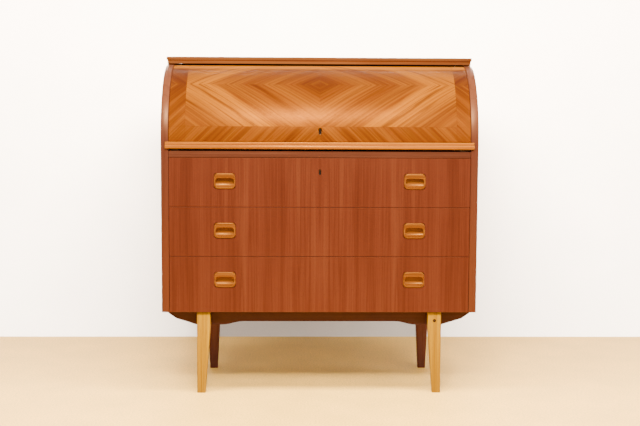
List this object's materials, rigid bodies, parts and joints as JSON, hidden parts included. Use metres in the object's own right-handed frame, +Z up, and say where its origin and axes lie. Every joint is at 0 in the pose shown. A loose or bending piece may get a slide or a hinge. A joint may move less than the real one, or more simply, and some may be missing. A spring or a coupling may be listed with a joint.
{
  "type": "roll top desk",
  "caption": "Cylinder-fall writing desk: rigid curved lid over a gallery, pull-out writing slide, full-width drawers with scooped handles, low frame on tapered legs.",
  "frame": {"origin": "on the floor under the middle of the desk's bounding box", "axes": "+X to the right as the user faces the desk, +Y towards its back, +Z up; the drawers and the slide open towards -Y"},
  "size_m": [0.9656, 0.482, 1.0318],
  "materials": {
    "teak_case": "reddish brown teak veneer, satin oil finish",
    "teak_drawer_front": "book-matched straight-grain teak veneer, satin",
    "teak_lid": "four-way book-matched golden teak veneer, semi-gloss",
    "teak_top": "teak veneer with a solid lipping, satin",
    "teak_edge": "solid light teak, rounded and polished by use",
    "teak_inside": "pale teak veneer, satin",
    "teak_frame": "solid stained teak, satin",
    "beech_leg": "solid golden beech, satin lacquer",
    "stained_leg": "solid beech stained dark reddish brown",
    "drawer_wood": "unfinished pale beech and plywood",
    "back_board": "stained plywood",
    "steel": "plain steel",
    "brass": "tarnished brass"
  },
  "bodies": {
    "case": {"side_panel_left": "teak_case", "side_panel_right": "teak_case", "top_board": "teak_top", "bottom_panel": "drawer_wood", "back_panel": "back_board", "front_rail": "teak_case", "runner_frame_left": "drawer_wood", "runner_frame_right": "drawer_wood", "slide_guide_left": "drawer_wood", "slide_guide_right": "drawer_wood", "gallery_floor": "teak_inside", "gallery_end_left": "teak_inside", "gallery_end_right": "teak_inside", "gallery_top": "teak_inside", "gallery_insert": "teak_inside", "lid_pivot_pin_left": "steel", "lid_pivot_pin_right": "steel", "front_apron": "teak_frame", "rear_apron": "teak_frame", "cross_rail_left": "teak_frame", "cross_rail_right": "teak_frame", "leg_front_left": "beech_leg", "leg_front_right": "beech_leg", "leg_rear_left": "stained_leg", "leg_rear_right": "stained_leg", "leg_screw_front_left": "steel", "leg_screw_front_right": "steel", "leg_screw_rear_left": "steel", "leg_screw_rear_right": "steel"},
    "lid": {"lid_shell": "teak_lid", "lid_rail": "teak_inside", "lid_arm_left": "teak_inside", "lid_arm_right": "teak_inside", "lid_escutcheon": "brass", "lid_lock_case": "steel"},
    "lid_bolt": {"lid_lock_bolt": "brass"},
    "writing_slide": {"slide_board": "teak_inside", "pull_bar": "teak_edge", "slide_stop": "drawer_wood", "lid_strike_plate": "brass"},
    "drawer_top": {"drawer_top_front": "teak_drawer_front", "drawer_top_box": "drawer_wood", "drawer_top_bottom": "drawer_wood", "drawer_top_handle_left": "teak_edge", "drawer_top_handle_right": "teak_edge", "drawer_escutcheon": "brass", "drawer_lock_case": "steel"},
    "drawer_bolt": {"drawer_lock_bolt": "brass"},
    "drawer_middle": {"drawer_middle_front": "teak_drawer_front", "drawer_middle_box": "drawer_wood", "drawer_middle_bottom": "drawer_wood", "drawer_middle_handle_left": "teak_edge", "drawer_middle_handle_right": "teak_edge"},
    "drawer_bottom": {"drawer_bottom_front": "teak_drawer_front", "drawer_bottom_box": "drawer_wood", "drawer_bottom_bottom": "drawer_wood", "drawer_bottom_handle_left": "teak_edge", "drawer_bottom_handle_right": "teak_edge"},
    "pen_drawer_left": {"pen_drawer_left": "teak_inside"},
    "pen_drawer_right": {"pen_drawer_right": "teak_inside"}
  },
  "joints": [
    {"name": "lid_roll", "type": "hinge", "parent": "case", "child": "lid", "pos_m": [0, -0.001, 0.7759], "axis": [-1, 0, 0], "range_deg": [0, 86]},
    {"name": "lid_bolt_throw", "type": "slide", "parent": "lid", "child": "lid_bolt", "axis": [0, 0, -1], "range_m": [0, 0.016]},
    {"name": "slide_travel", "type": "slide", "parent": "case", "child": "writing_slide", "axis": [0, -1, 0], "range_m": [0, 0.25]},
    {"name": "drawer_top_travel", "type": "slide", "parent": "case", "child": "drawer_top", "axis": [0, -1, 0], "range_m": [0, 0.3]},
    {"name": "drawer_bolt_throw", "type": "slide", "parent": "drawer_top", "child": "drawer_bolt", "axis": [0, 0, 1], "range_m": [0, 0.008]},
    {"name": "drawer_middle_travel", "type": "slide", "parent": "case", "child": "drawer_middle", "axis": [0, -1, 0], "range_m": [0, 0.3]},
    {"name": "drawer_bottom_travel", "type": "slide", "parent": "case", "child": "drawer_bottom", "axis": [0, -1, 0], "range_m": [0, 0.3]},
    {"name": "pen_drawer_left_travel", "type": "slide", "parent": "case", "child": "pen_drawer_left", "axis": [0, -1, 0], "range_m": [0, 0.14]},
    {"name": "pen_drawer_right_travel", "type": "slide", "parent": "case", "child": "pen_drawer_right", "axis": [0, -1, 0], "range_m": [0, 0.14]}
  ]
}
